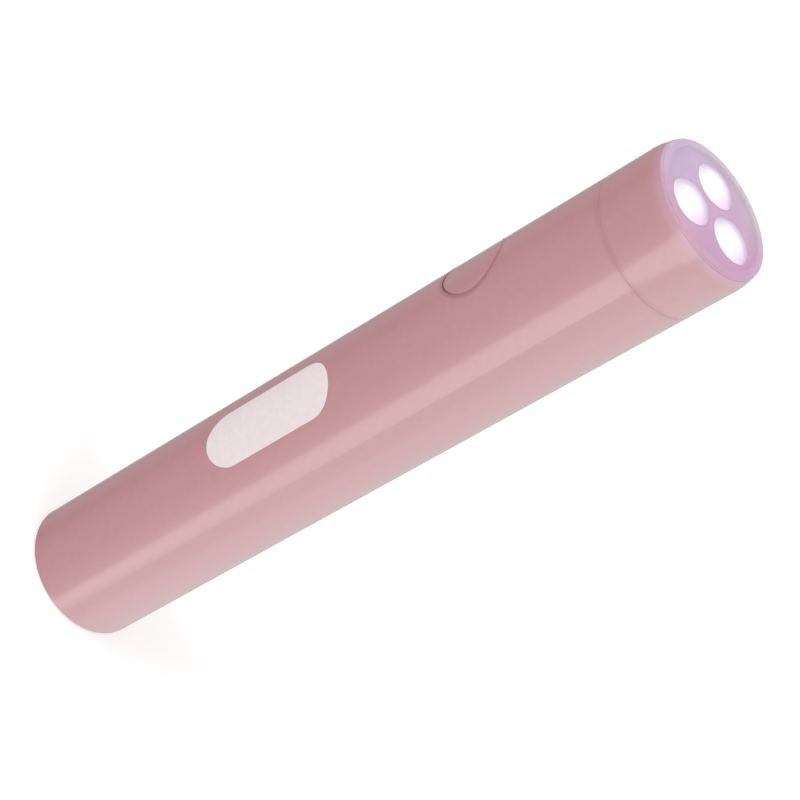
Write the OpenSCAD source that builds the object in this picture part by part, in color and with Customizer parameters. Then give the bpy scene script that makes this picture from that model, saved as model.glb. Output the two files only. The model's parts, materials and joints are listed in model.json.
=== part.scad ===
// Pen-shaped nail lamp with a push button and three LED cups.
// It stands on its flat tail: the origin is the middle of the tail face, +Z runs
// towards the lens, and the button faces -Y.

/* [Cell] */
// Diameter of the cell
cell_d = 14; // [12.5:0.1:18]
// Length of the cell with its cap
cell_l = 50; // [40:0.5:70]

/* [Barrel] */
// Wall of the barrel
tube_wall = 1.2; // [0.9:0.1:2]
// Wall of the inner frame round the cell
frame_wall = 1.4; // [1:0.1:2]
// Rounding of the barrel's edge at the tail
tail_edge_r = 0.6; // [0.2:0.1:1]
// Bevel on each side of the seam between barrel and head
seam_bevel = 0.12; // [0.05:0.01:0.3]

/* [Head] */
// How far the head's spigot reaches into the barrel
spigot_l = 3.5; // [3:0.5:5]
// Wall of the spigot
spigot_wall = 1.1; // [0.9:0.1:1.4]
// Thickness of the head's ledge under the heat sink
ledge_t = 1; // [0.8:0.1:2]
// Height of the heat sink
sink_h = 2.1; // [1.7:0.1:4]
// Length over which the head draws in at its mouth
mouth_l = 2.4; // [1:0.2:4]
// How far the head draws in at its mouth
mouth_in = 0.45; // [0.2:0.05:0.7]

/* [Lens] */
// Height of the lens's crown over its rim
lens_crown = 0.4; // [0.2:0.1:0.8]
// Thickness of the lens's flange at its rim
flange_t = 0.4; // [0.3:0.1:0.8]
// Thickness of the lens in the middle
lens_t = 1.5; // [1.3:0.1:2.2]
// Thickness of the ring under the flange
gasket_t = 0.2; // [0.1:0.05:0.4]

/* [LEDs] */
// Distance of each cup from the axis
cup_ring_r = 4.3; // [4.1:0.05:4.5]
// Diameter of a cup's mouth
cup_d = 6.4; // [5.8:0.1:6.6]
// Diameter of a cup's bottom
cup_foot_d = 3.8; // [3.4:0.1:4.2]
// Wall of a cup
cup_wall = 0.6; // [0.4:0.1:0.9]
// Rim of the reflector outside the cups
cup_rim = 0.9; // [0.7:0.1:1.2]
// Height of the reflector
reflector_h = 4.8; // [4.4:0.1:6]
// Turn of the cups about the axis
cup_turn = 70.3; // [0:0.1:120]
// Side of an LED's square base
led_w = 3.4; // [2.8:0.1:3.6]
// Height of an LED's base
led_h = 0.8; // [0.5:0.1:1]
// Diameter of an LED's dome
led_dome_d = 3; // [2.4:0.1:3.2]
// Thickness of the LED board
led_board_t = 1; // [0.8:0.1:1.6]

/* [Button] */
// Distance from the seam back to the middle of the button
button_back = 21; // [19:0.5:25]
// Diameter of the hole for the button
button_hole_d = 10; // [8:0.5:10.5]
// Gap round the button
button_gap = 0.2; // [0.1:0.05:0.3]
// Wall of the button
button_wall = 1; // [0.8:0.1:1.4]
// Thickness of the rim that keeps the button in
button_rim_t = 0.8; // [0.6:0.1:1.2]
// Travel of the button
button_travel = 0.3; // [0.2:0.05:0.3]

/* [Switch] */
// Side of the tactile switch
switch_w = 6; // [5:0.1:6.4]
// Height of the tactile switch
switch_h = 3.1; // [2.8:0.1:3.6]
// How far the plunger stands out of the switch
plunger_rise = 0.7; // [0.6:0.1:1.2]
// Diameter of the plunger
plunger_d = 3.4; // [2.8:0.1:3.6]

/* [Boards] */
// Length of the driver board
driver_board_l = 34.2; // [31:0.2:60]
// Length of the charging board
charge_board_l = 11; // [10:0.1:16]
// Thickness of the driver board and the charging board
board_t = 1; // [0.8:0.1:1.2]

/* [Socket] */
// Width of the charging socket
usb_w = 8.94; // [8.8:0.02:9.1]
// Height of the charging socket
usb_h = 3.26; // [3.1:0.02:3.4]
// Length of the charging socket
usb_l = 7.35; // [6.8:0.05:7.8]
// Depth of the socket's mouth below the tail face
usb_sink = 0.2; // [0.1:0.05:0.4]

/* [Tail] */
// Thickness of the tail cap's face
cap_t = 2; // [1.6:0.1:2.4]
// Length of the tail cap's skirt behind its face
skirt_l = 3; // [2:0.1:4]
// Wall of the skirt
skirt_wall = 1.3; // [1:0.1:1.5]

/* [Hidden] */

$fn = 96;
eps = 0.01;

// Clearances
fit_gap = 0.1;
slide_gap = 0.05;
frame_gap = 0.2;
cell_gap = 0.2;
lens_air = 0.1;

// Barrel and frame, from the cell outwards
cell_r = cell_d / 2;
trough_r = cell_r + cell_gap;
frame_r = trough_r + frame_wall;
bore_r = frame_r + frame_gap;
lamp_r = bore_r + tube_wall;
lamp_d = 2 * lamp_r;

// Places along the axis, from the tail to the seam
frame_z = cap_t + skirt_l;
charge_gap = 0.2;
charge_board_z = cap_t + charge_gap;
bay_end_z = charge_board_z + charge_board_l + charge_gap;
bulkhead_t = 1;
foam_t = 1;
tab_t = 0.2;
foam_z = bay_end_z + bulkhead_t;
tab_negative_z = foam_z + foam_t;
cell_z = tab_negative_z + tab_t;
cell_end_z = cell_z + cell_l;
front_bulkhead_z = cell_end_z + tab_t + 0.4;
board_z = front_bulkhead_z + bulkhead_t + 0.6;
board_end_z = board_z + driver_board_l;
spigot_z = board_end_z + 0.5;
seam_z = spigot_z + spigot_l;

// Head, from the seam to the crown
spigot_r = bore_r - fit_gap;
spigot_bore_r = spigot_r - spigot_wall;
spigot_bevel = 0.3;
head_bore_r = cup_ring_r + cup_d / 2 + cup_rim;
mouth_r = lamp_r - mouth_in;
ledge_z = seam_z + ledge_t;
led_board_under_z = ledge_z + sink_h;
led_board_z = led_board_under_z + led_board_t;
reflector_z = led_board_z + reflector_h;
lens_z = reflector_z + lens_air;
lamp_l = lens_z + lens_t;

// Lens: rim, flange and the head's top face
rim_z = lamp_l - lens_crown;
flange_z = rim_z - flange_t;
bezel_z = flange_z - gasket_t;
lens_rim_r = mouth_r - slide_gap;
lens_edge_r = 0.25;
lens_steps = 10;

// Reflector, LEDs and heat sink
reflector_r = head_bore_r - slide_gap;
cup_foot_z = led_board_z + led_h + lens_air;
cup_steps = 12;
cup_lip = 0.15;
top_plate_t = 0.8;
reflector_skirt = 0.8;
led_count = 3;
led_spacing = 360 / led_count;
led_pocket_w = led_w + 2 * fit_gap;
led_corner = 0.5;
sink_plate_t = 1;
fin_h = sink_h - sink_plate_t;
fin_t = 1;
fin_gap = 1.2;
fins_each_side = 3;

// Screws
screw_r = 0.7;
screw_hole_r = screw_r + slide_gap;
screw_head_r = 1.4;
screw_head_h = 1;
screw_boss_r = 1.5;
screw_bite = 3;
cross_w = 0.35;
cross_l = 1.8;
cross_depth = 0.5;
led_screw_ring_r = spigot_bore_r - screw_head_r - 2 * fit_gap;

// Button and switch, from the barrel's surface inwards along +Y
button_z = seam_z - button_back;
button_hole_r = button_hole_d / 2;
button_r = button_hole_r - button_gap;
button_rim_r = button_hole_r + 0.6;
rim_clear = 0.15;
rim_y = -(sqrt(pow(bore_r, 2) - pow(button_rim_r, 2)) - rim_clear);
rim_under_y = rim_y + button_rim_t;
stem_r = 1.5;
stem_drop = 0.35;
plunger_y = rim_under_y + stem_drop;
switch_y = plunger_y + plunger_rise;
board_y = switch_y + switch_h;
board_under_y = board_y + board_t;
switch_cover_t = 0.3;
plunger_r = plunger_d / 2;
well_r = plunger_r + 0.25;
well_depth = 1.5;
well_floor_y = switch_y + switch_cover_t + well_depth;
dome_t = 0.12;
dome_rise = 0.2;
plunger_float = 0.1;
leg_w = 0.7;
leg_l = 1.2;
leg_t = 0.2;
leg_pitch = 4.5;

// Tail cap and charging board
cap_r = bore_r - fit_gap;
cap_bevel = 0.25;
usb_wall = 0.25;
usb_mouth_bevel = 0.3;
rail_gap = 0.43;
rail_in = 0.6;
rail_up = 0.9;
charge_board_w = usb_w + 2 * (rail_gap + rail_in);
charge_board_y = -usb_h / 2;
charge_board_under_y = charge_board_y - board_t;

// Inner frame
bay_wrap_y = charge_board_under_y - 1.6;
bulkhead_wrap_y = -3;
clip_wrap_y = -4.4;
clip_w = 6;
board_w = 2 * (sqrt(pow(frame_r, 2) - pow(board_y, 2)) - 0.1);
post_r = 2;
post_inset = 2.6;
post_x = board_w / 2 - 3;
posts = [[post_x, board_z + post_inset], [-post_x, board_end_z - post_inset]];

// Cell
battery_cap_r = 2.6;
battery_cap_h = 1.2;
can_groove = 0.4;
can_groove_half = 0.6;
can_groove_z = cell_end_z - battery_cap_h - 2.6;
can_edge = 0.5;

// Wires
wire_r = 0.5;
wire_sides = 8;
wire_bend = 1.2;
wire_ring_r = (cell_r + bore_r) / 2;
tab_w = 3;
tab_reach = wire_ring_r - wire_r - slide_gap;
negative_turn = -128;
positive_turn = -90;
charge_wire_x = 2.4;
charge_wire_y = -sqrt(pow(wire_ring_r, 2) - pow(charge_wire_x, 2));
pad_y = board_y - wire_r;
black_pad_x = -5.4;
pad_z = board_z + 2.4;
led_wire_ring_r = 5.6;
led_wire_spread = 12;
wire_lie = 1.5;
led_pad_z = board_end_z - 4;
charge_pad_z = bay_end_z - 3.7;
led_wire_turn = cup_turn - led_spacing;

// Parts on the driver board's inner side
chip_w = 4;
chip_l = 5;
chip_h = 1.5;
chip_z = board_z + 0.3 * driver_board_l;
inductor_w = 5.6;
inductor_h = 2.8;
inductor_wall = 0.5;
inductor_z = board_z + 0.62 * driver_board_l;
capacitor_l = 2;
capacitor_w = 1.2;
capacitor_pitch = 2.6;
resistor_l = 1.6;
resistor_w = 0.8;
resistor_h = 0.5;
resistor_pitch = 2.4;
part_gap = 1;

// Parts on the charging board
charge_chip_w = 5;
charge_chip_l = 4;
charge_chip_h = 1.4;
charge_chip_z = charge_board_z + 2.4;
charge_capacitor_x = 2.2;
charge_capacitor_gap = 1.2;

// Tongue and contacts in the socket
tongue_w = 6.7;
tongue_t = 0.7;
tongue_sink = 0.8;
tongue_base_l = 1.9;
contact_w = 0.26;
contact_t = 0.06;
contact_l = 3.2;
contact_pitch = 0.5;
contacts_each_side = 12;

// Points of a quarter arc round a centre, from one angle to another
function arc(cx, cy, r, a0, a1, steps) =
    [for (i = [0:steps]) let (a = a0 + (a1 - a0) * i / steps) [cx + r * cos(a), cy + r * sin(a)]];

// Radius of a parabolic cup at a share t of its height
function cup_r(t, foot, mouth) = sqrt(foot * foot + t * (mouth * mouth - foot * foot));

// Stadium outline: a square with two round ends
module stadium(w, h) {
    square([w - h, h], center = true);
    for (side = [-1, 1])
        translate([side * (w - h) / 2, 0])
            circle(d = h);
}

// Cylinder along Y from y0 to y1
module rod_y(r, y0, y1) {
    translate([0, y1, 0])
        rotate([90, 0, 0])
            cylinder(r = r, h = y1 - y0);
}

// Points of the soft bend that takes the place of a route's corner i
function bend(route, i) =
    let (
        back = route[i - 1] - route[i],
        onward = route[i + 1] - route[i],
        a = route[i] + back * min(wire_bend / norm(back), 0.45),
        b = route[i] + onward * min(wire_bend / norm(onward), 0.45)
    )
    [for (t = [0:0.25:1]) (1 - t) * (1 - t) * a + 2 * t * (1 - t) * route[i] + t * t * b];

// Ring of points round a route at its point i, square to the way it runs there
function wire_ring(route, i) =
    let (
        way = route[min(i + 1, len(route) - 1)] - route[max(i - 1, 0)],
        side = cross(way, [1, 0, 0]) / norm(cross(way, [1, 0, 0])),
        across = cross(way, side) / norm(way)
    )
    [for (k = [0:wire_sides - 1])
        route[i] + wire_r * (cos(360 * k / wire_sides) * side + sin(360 * k / wire_sides) * across)];

// Wire with soft bends through a list of points, none of whose stretches runs along X
module wire(points) {
    route = concat(
        [points[0]],
        [for (i = [1:len(points) - 2]) each bend(points, i)],
        [points[len(points) - 1]]
    );
    last = len(route) - 1;
    polyhedron(
        points = [for (i = [0:last]) each wire_ring(route, i)],
        faces = concat(
            [[for (k = [0:wire_sides - 1]) k]],
            [for (i = [0:last - 1], k = [0:wire_sides - 1])
                let (a = i * wire_sides + k, b = i * wire_sides + (k + 1) % wire_sides)
                each [[a, a + wire_sides, b], [b, a + wire_sides, b + wire_sides]]],
            [[for (k = [wire_sides - 1:-1:0]) last * wire_sides + k]]
        )
    );
}

// Pan-head screw with a cross recess: the head's underside is at z = 0, the shank runs up
module screw(shank_l) {
    difference() {
        union() {
            cylinder(r = screw_r, h = shank_l, $fn = 32);
            translate([0, 0, -screw_head_h])
                cylinder(r1 = screw_head_r - 0.3, r2 = screw_head_r, h = screw_head_h, $fn = 32);
        }
        for (turn = [0, 90])
            rotate(turn)
                translate([-cross_l / 2, -cross_w / 2, -screw_head_h - eps])
                    cube([cross_l, cross_w, cross_depth + eps]);
    }
}

// Box on the driver board's inner side, x and z being its middle
module under_board(w, h, l, x, z) {
    translate([x - w / 2, board_under_y, z - l / 2])
        cube([w, h, l]);
}

// Places its children at each cup, the first at the given turn
module at_cup(i) {
    rotate(cup_turn + i * led_spacing)
        translate([cup_ring_r, 0, 0])
            children();
}

// Places its children at each screw, halfway between two cups
module at_led_screws() {
    for (i = [0:led_count - 1])
        rotate(cup_turn + (i + 0.5) * led_spacing)
            translate([led_screw_ring_r, 0, 0])
                children();
}

// Places its children at the two holes for the LED wires
module at_led_wires() {
    for (side = [-1, 1])
        rotate(led_wire_turn + side * led_wire_spread)
            translate([led_wire_ring_r, 0, 0])
                children();
}

module body_tube() {
    color("#c4929a")
        difference() {
            rotate_extrude()
                polygon(concat(
                    [[bore_r, 0]],
                    arc(lamp_r - tail_edge_r, tail_edge_r, tail_edge_r, -90, 0, 8),
                    [
                        [lamp_r, seam_z - seam_bevel],
                        [lamp_r - seam_bevel, seam_z],
                        [bore_r, seam_z]
                    ]
                ));
            translate([0, 0, button_z])
                rod_y(button_hole_r, -lamp_r - 1, 0);
        }
}

module head_bezel() {
    mouth_arc_r = (pow(mouth_l, 2) + pow(mouth_in, 2)) / (2 * mouth_in);
    mouth_arc_end = asin(mouth_l / mouth_arc_r);
    color("#c4929a")
        rotate_extrude()
            polygon(concat(
                [
                    [spigot_bore_r, spigot_z],
                    [spigot_r - spigot_bevel, spigot_z],
                    [spigot_r, spigot_z + spigot_bevel],
                    [spigot_r, seam_z],
                    [lamp_r - seam_bevel, seam_z],
                    [lamp_r, seam_z + seam_bevel]
                ],
                arc(lamp_r - mouth_arc_r, bezel_z - mouth_l, mouth_arc_r, 0, mouth_arc_end, 8),
                [
                    [head_bore_r, bezel_z],
                    [head_bore_r, ledge_z],
                    [spigot_bore_r, ledge_z]
                ]
            ));
}

module front_lens() {
    crown_r = (pow(lens_rim_r - lens_edge_r, 2) + pow(lens_crown, 2)) / (2 * lens_crown);
    crown_half = asin((lens_rim_r - lens_edge_r) / crown_r);
    color("#e4d8f0", 0.5)
        rotate_extrude()
            polygon(concat(
                [
                    [0, lens_z],
                    [reflector_r, lens_z],
                    [reflector_r, flange_z],
                    [lens_rim_r, flange_z]
                ],
                arc(lens_rim_r - lens_edge_r, rim_z - lens_edge_r, lens_edge_r, 0, 90 - crown_half, 5),
                arc(0, lamp_l - crown_r, crown_r, 90 - crown_half, 90, lens_steps)
            ));
}

module lens_gasket() {
    color("#f0eaf2")
        translate([0, 0, bezel_z])
            difference() {
                cylinder(r = lens_rim_r - 0.1, h = gasket_t);
                translate([0, 0, -eps])
                    cylinder(r = head_bore_r, h = gasket_t + 2 * eps);
            }
}

// Solid inside a cup's surface, grown by a wall, up to a height
module cup_form(wall, top) {
    foot = cup_foot_d / 2 + wall;
    mouth = cup_d / 2 + wall;
    rise = top - cup_foot_z;
    rotate_extrude()
        polygon(concat(
            [[0, cup_foot_z]],
            [for (i = [0:cup_steps]) [cup_r(i / cup_steps, foot, mouth), cup_foot_z + rise * i / cup_steps]],
            [[0, cup_foot_z + rise]]
        ));
}

module reflector() {
    color("#e8e4ee")
        difference() {
            union() {
                translate([0, 0, reflector_z - top_plate_t])
                    cylinder(r = reflector_r, h = top_plate_t);
                difference() {
                    translate([0, 0, led_board_z])
                        cylinder(r = reflector_r, h = reflector_h - top_plate_t);
                    translate([0, 0, led_board_z - eps])
                        cylinder(r = reflector_r - reflector_skirt, h = reflector_h);
                }
                for (i = [0:led_count - 1])
                    at_cup(i) {
                        cup_form(cup_wall, reflector_z);
                        translate([0, 0, led_board_z])
                            cylinder(r = cup_foot_d / 2 + cup_wall, h = cup_foot_z - led_board_z);
                    }
                at_led_screws()
                    translate([0, 0, led_board_z])
                        cylinder(r = screw_boss_r, h = reflector_h - eps);
            }
            for (i = [0:led_count - 1])
                at_cup(i) {
                    cup_form(0, reflector_z);
                    translate([0, 0, reflector_z - cup_lip])
                        cylinder(r1 = cup_d / 2, r2 = cup_d / 2 + 2 * cup_lip, h = 2 * cup_lip);
                    translate([0, 0, (led_board_z + cup_foot_z) / 2])
                        cube([led_pocket_w, led_pocket_w, cup_foot_z - led_board_z + 2 * eps], center = true);
                }
            at_led_screws()
                translate([0, 0, led_board_z - eps])
                    cylinder(r = screw_hole_r, h = screw_bite + 0.3, $fn = 32);
        }
}

module led_base(i) {
    color("#f4f0e4")
        at_cup(i)
            translate([0, 0, led_board_z])
                linear_extrude(led_h)
                    difference() {
                        square(led_w, center = true);
                        translate([led_w / 2, led_w / 2])
                            rotate(45)
                                square(led_corner, center = true);
                    }
}

module led_dome(i) {
    dome_r = led_dome_d / 2;
    color("#f6ecff")
        at_cup(i)
            translate([0, 0, led_board_z + led_h])
                difference() {
                    translate([0, 0, -dome_r / 4])
                        sphere(r = dome_r, $fn = 48);
                    translate([0, 0, -dome_r])
                        cube(2 * dome_r, center = true);
                }
}

module led_board() {
    color("#e9ebe6")
        difference() {
            translate([0, 0, led_board_under_z])
                cylinder(r = reflector_r, h = led_board_t);
            at_led_screws()
                translate([0, 0, led_board_under_z - eps])
                    cylinder(r = screw_hole_r, h = led_board_t + 2 * eps, $fn = 32);
        }
}

module heat_sink() {
    pitch = fin_t + fin_gap;
    color("#b9bcc2")
        difference() {
            translate([0, 0, ledge_z])
                cylinder(r = reflector_r, h = sink_h);
            difference() {
                for (i = [-fins_each_side:fins_each_side])
                    translate([-lamp_r, i * pitch - fin_gap / 2, ledge_z - eps])
                        cube([lamp_d, fin_gap, fin_h + eps]);
                at_led_screws()
                    translate([0, 0, seam_z])
                        cylinder(r = screw_head_r + 0.3, h = ledge_t + sink_h);
            }
            at_led_screws()
                translate([0, 0, ledge_z - eps])
                    cylinder(r = screw_hole_r, h = sink_h + 2 * eps, $fn = 32);
            at_led_wires()
                translate([0, 0, ledge_z - eps])
                    cylinder(r = wire_r + 0.3, h = sink_h + 2 * eps, $fn = 32);
        }
}

module led_screws() {
    color("#8d8f94")
        at_led_screws()
            translate([0, 0, ledge_z])
                screw(sink_h + led_board_t + screw_bite);
}

// Wire from the driver board to one hole of the heat sink
module led_lead(side) {
    turn = led_wire_turn + side * led_wire_spread;
    x = led_wire_ring_r * cos(turn);
    y = led_wire_ring_r * sin(turn);
    wire([
        [x, pad_y, led_pad_z],
        [x, pad_y, led_pad_z + wire_lie],
        [x, y, spigot_z + spigot_l / 2],
        [x, y, led_board_under_z - wire_r]
    ]);
}

module led_lead_red() {
    color("#c0392f")
        led_lead(1);
}

module led_lead_black() {
    color("#26262a")
        led_lead(-1);
}

module button_cap() {
    color("#c4929a")
        translate([0, 0, button_z]) {
            difference() {
                union() {
                    intersection() {
                        rod_y(button_r, -lamp_r, rim_under_y);
                        translate([0, 0, -lamp_r])
                            cylinder(r = lamp_r, h = lamp_d);
                    }
                    rod_y(button_rim_r, rim_y, rim_under_y);
                }
                rod_y(button_r - button_wall, -lamp_r + 1.6, rim_under_y + eps);
            }
            rod_y(stem_r, -lamp_r + 1.5, plunger_y);
        }
}

module switch_plunger() {
    foot_y = switch_y + switch_cover_t + slide_gap;
    foot_end_y = well_floor_y - dome_rise - dome_t - button_travel - plunger_float;
    color("#2b2b2f")
        translate([0, 0, button_z]) {
            rod_y(plunger_r, plunger_y, foot_y);
            rod_y(plunger_r + 0.15, foot_y, foot_end_y);
        }
}

module switch_base() {
    color("#34343a")
        difference() {
            translate([-switch_w / 2, switch_y + switch_cover_t, button_z - switch_w / 2])
                cube([switch_w, switch_h - switch_cover_t, switch_w]);
            translate([0, 0, button_z])
                rod_y(well_r, switch_y, well_floor_y);
        }
}

module switch_cover() {
    color("#c9cbd0")
        difference() {
            translate([-switch_w / 2, switch_y, button_z - switch_w / 2])
                cube([switch_w, switch_cover_t, switch_w]);
            translate([0, 0, button_z])
                rod_y(plunger_r + slide_gap, switch_y - 1, switch_y + 1);
        }
}

module switch_dome() {
    snap_r = well_r - 0.15;
    ball_r = (pow(snap_r, 2) + pow(dome_rise, 2)) / (2 * dome_rise);
    half_rise = sqrt(pow(ball_r, 2) - pow(snap_r / 2, 2)) - ball_r + dome_rise;
    color("#d8d2c0")
        translate([0, well_floor_y, button_z])
            rotate([90, 0, 0])
                rotate_extrude()
                    polygon([
                        [0, dome_rise],
                        [snap_r / 2, half_rise],
                        [snap_r, 0],
                        [snap_r, dome_t],
                        [snap_r / 2, half_rise + dome_t],
                        [0, dome_rise + dome_t]
                    ]);
}

module switch_legs() {
    color("#d5d7da")
        for (side = [-1, 1], row = [-1, 1])
            translate([
                side > 0 ? switch_w / 2 : -switch_w / 2 - leg_l,
                board_y - leg_t,
                button_z + row * leg_pitch / 2 - leg_w / 2
            ])
                cube([leg_l, leg_t, leg_w]);
}

module driver_board() {
    color("#2f7d5b")
        difference() {
            translate([-board_w / 2, board_y, board_z])
                cube([board_w, board_t, driver_board_l]);
            for (post = posts)
                translate([post[0], 0, post[1]])
                    rod_y(screw_hole_r, board_y - 1, board_under_y + 1, $fn = 32);
        }
}

module driver_chip() {
    color("#2a2a2e")
        under_board(chip_w, chip_h, chip_l, 0, chip_z);
}

module driver_inductor() {
    color("#4a4a50")
        difference() {
            under_board(inductor_w, inductor_h, inductor_w, 0, inductor_z);
            translate([0, 0, inductor_z])
                difference() {
                    rod_y(inductor_w, board_under_y + inductor_wall, board_under_y + inductor_h - inductor_wall);
                    rod_y(inductor_w / 2 - inductor_wall, board_under_y, board_under_y + inductor_h);
                }
        }
}

module driver_capacitors() {
    x = (chip_w + capacitor_l) / 2 + part_gap;
    color("#c9b08a")
        for (side = [-1, 1], row = [-1, 1])
            under_board(capacitor_l, capacitor_w, capacitor_w, side * x, chip_z + row * capacitor_pitch / 2);
}

module driver_resistors() {
    x = (inductor_w + resistor_l) / 2 + part_gap;
    color("#33363b")
        for (side = [-1, 1], row = [-1, 1])
            under_board(resistor_l, resistor_h, resistor_w, side * x, inductor_z + row * resistor_pitch / 2);
}

module board_screws() {
    color("#8d8f94")
        for (post = posts)
            translate([post[0], board_y, post[1]])
                rotate([-90, 0, 0])
                    screw(board_t + screw_bite);
}

// Ring of the frame's section between two heights, open below y = wrap
module frame_shell(z0, z1, wrap) {
    translate([0, 0, z0])
        linear_extrude(z1 - z0)
            difference() {
                circle(r = frame_r);
                circle(r = trough_r);
                translate([-lamp_r, wrap - lamp_d])
                    square(lamp_d);
            }
}

// Half disc that closes the frame at a height
module bulkhead(z) {
    translate([0, 0, z])
        linear_extrude(bulkhead_t)
            difference() {
                circle(r = frame_r);
                translate([-lamp_r, bulkhead_wrap_y - lamp_d])
                    square(lamp_d);
            }
}

module charge_rails() {
    rail_x = charge_board_w / 2 - rail_in;
    difference() {
        for (side = [-1, 1])
            translate([side > 0 ? rail_x : -lamp_r, charge_board_under_y - rail_up, frame_z])
                cube([lamp_r - rail_x, board_t + 2 * rail_up, bay_end_z - frame_z]);
        translate([0, 0, frame_z - 1])
            difference() {
                cylinder(r = 2 * lamp_r, h = lamp_l);
                cylinder(r = frame_r - fit_gap, h = lamp_l);
            }
        translate([
            -charge_board_w / 2 - slide_gap,
            charge_board_under_y - slide_gap,
            frame_z - 1
        ])
            cube([charge_board_w + 2 * slide_gap, board_t + 2 * slide_gap, bay_end_z - frame_z + 1]);
    }
}

module inner_frame() {
    clip_zs = [cell_z + cell_l * 0.3, cell_z + cell_l * 0.7];
    color("#e6e3e0")
        difference() {
            union() {
                frame_shell(frame_z, spigot_z, board_under_y);
                frame_shell(frame_z, bay_end_z + bulkhead_t, bay_wrap_y);
                for (z = clip_zs)
                    frame_shell(z - clip_w / 2, z + clip_w / 2, clip_wrap_y);
                bulkhead(bay_end_z);
                bulkhead(front_bulkhead_z);
                charge_rails();
                for (post = posts)
                    intersection() {
                        translate([post[0], 0, post[1]])
                            rod_y(post_r, board_under_y, lamp_r);
                        cylinder(r = frame_r - fit_gap, h = lamp_l);
                    }
            }
            for (post = posts)
                translate([post[0], 0, post[1]])
                    rod_y(screw_hole_r, board_under_y - 1, board_under_y + screw_bite + 0.5, $fn = 32);
        }
}

module battery_cell() {
    can_l = cell_l - battery_cap_h;
    color("#7f9ec4")
        rotate_extrude()
            polygon([
                [0, cell_z],
                [cell_r - can_edge, cell_z],
                [cell_r, cell_z + can_edge],
                [cell_r, can_groove_z - can_groove_half],
                [cell_r - can_groove, can_groove_z],
                [cell_r, can_groove_z + can_groove_half],
                [cell_r, cell_z + can_l - can_edge],
                [cell_r - can_edge, cell_z + can_l],
                [0, cell_z + can_l]
            ]);
}

module battery_ring() {
    color("#f2f2ee")
        translate([0, 0, cell_end_z - battery_cap_h])
            difference() {
                cylinder(r = cell_r - 1, h = 0.4);
                translate([0, 0, -eps])
                    cylinder(r = battery_cap_r + fit_gap, h = 0.4 + 2 * eps);
            }
}

module battery_cap() {
    color("#d0d0cc")
        translate([0, 0, cell_end_z - battery_cap_h])
            cylinder(r1 = battery_cap_r, r2 = battery_cap_r - 0.2, h = battery_cap_h);
}

// Nickel tab at a height, from past the middle out along a turn
module tab(z, turn) {
    color("#d6d4ca")
        translate([0, 0, z])
            rotate(turn)
                translate([-tab_w / 2, -tab_w / 2, 0])
                    cube([tab_reach + tab_w / 2, tab_w, tab_t]);
}

module tab_positive() {
    tab(cell_end_z, positive_turn);
}

module tab_negative() {
    tab(tab_negative_z, negative_turn);
}

module foam_pad() {
    color("#55555c")
        translate([0, 0, foam_z])
            cylinder(r = cell_r - 1, h = foam_t);
}

module cell_lead_red() {
    tab_lead_r = tab_reach - 1;
    color("#c0392f")
        wire([
            [tab_lead_r * cos(positive_turn), tab_lead_r * sin(positive_turn), cell_end_z + tab_t + wire_r],
            [0, pad_y - 1.6, board_z],
            [0, pad_y, pad_z - wire_lie],
            [0, pad_y, pad_z]
        ]);
}

module cell_lead_black() {
    color("#26262a")
        wire([
            [wire_ring_r * cos(negative_turn), wire_ring_r * sin(negative_turn), tab_negative_z - wire_r],
            [wire_ring_r * cos(negative_turn), wire_ring_r * sin(negative_turn), cell_end_z],
            [black_pad_x, pad_y - 1.6, board_z],
            [black_pad_x, pad_y, pad_z - wire_lie],
            [black_pad_x, pad_y, pad_z]
        ]);
}

// Wire from the charging board along the cell to the driver board
module charge_lead(side) {
    x = side * charge_wire_x;
    wire([
        [x, charge_board_under_y - wire_r, charge_pad_z],
        [x, charge_board_under_y - wire_r, charge_pad_z + wire_lie],
        [x, charge_wire_y, bay_end_z + bulkhead_t / 2],
        [x, charge_wire_y, cell_end_z + tab_t],
        [x, pad_y, pad_z - wire_lie],
        [x, pad_y, pad_z]
    ]);
}

module charge_lead_red() {
    color("#c0392f")
        charge_lead(1);
}

module charge_lead_black() {
    color("#26262a")
        charge_lead(-1);
}

module charge_board() {
    color("#2f7d5b")
        translate([-charge_board_w / 2, charge_board_under_y, charge_board_z])
            cube([charge_board_w, board_t, charge_board_l]);
}

module charge_chip() {
    color("#2a2a2e")
        translate([-charge_chip_w / 2, charge_board_under_y - charge_chip_h, charge_chip_z])
            cube([charge_chip_w, charge_chip_h, charge_chip_l]);
}

module charge_capacitors() {
    color("#c9b08a")
        for (side = [-1, 1])
            translate([
                side * charge_capacitor_x - capacitor_l / 2,
                charge_board_y,
                usb_sink + usb_l + charge_capacitor_gap
            ])
                cube([capacitor_l, capacitor_w, capacitor_w]);
}

module usb_shell() {
    color("#c9cbd0")
        translate([0, 0, usb_sink])
            difference() {
                linear_extrude(usb_l)
                    stadium(usb_w, usb_h);
                translate([0, 0, -eps])
                    linear_extrude(usb_l + 2 * eps)
                        stadium(usb_w - 2 * usb_wall, usb_h - 2 * usb_wall);
            }
}

module usb_tongue() {
    color("#2b2b2f")
        translate([0, 0, usb_sink]) {
            translate([0, 0, usb_l - tongue_base_l])
                linear_extrude(tongue_base_l)
                    stadium(usb_w - 2 * usb_wall - 2 * slide_gap, usb_h - 2 * usb_wall - 2 * slide_gap);
            translate([-tongue_w / 2, -tongue_t / 2, tongue_sink])
                cube([tongue_w, tongue_t, usb_l - tongue_base_l - tongue_sink + eps]);
        }
}

module usb_contacts() {
    first_x = -(contacts_each_side - 1) / 2 * contact_pitch;
    color("#d8b25a")
        for (i = [0:contacts_each_side - 1], side = [-1, 1])
            translate([
                first_x + i * contact_pitch - contact_w / 2,
                side > 0 ? tongue_t / 2 : -tongue_t / 2 - contact_t,
                usb_sink + tongue_sink + 0.4
            ])
                cube([contact_w, contact_t, contact_l]);
}

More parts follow.
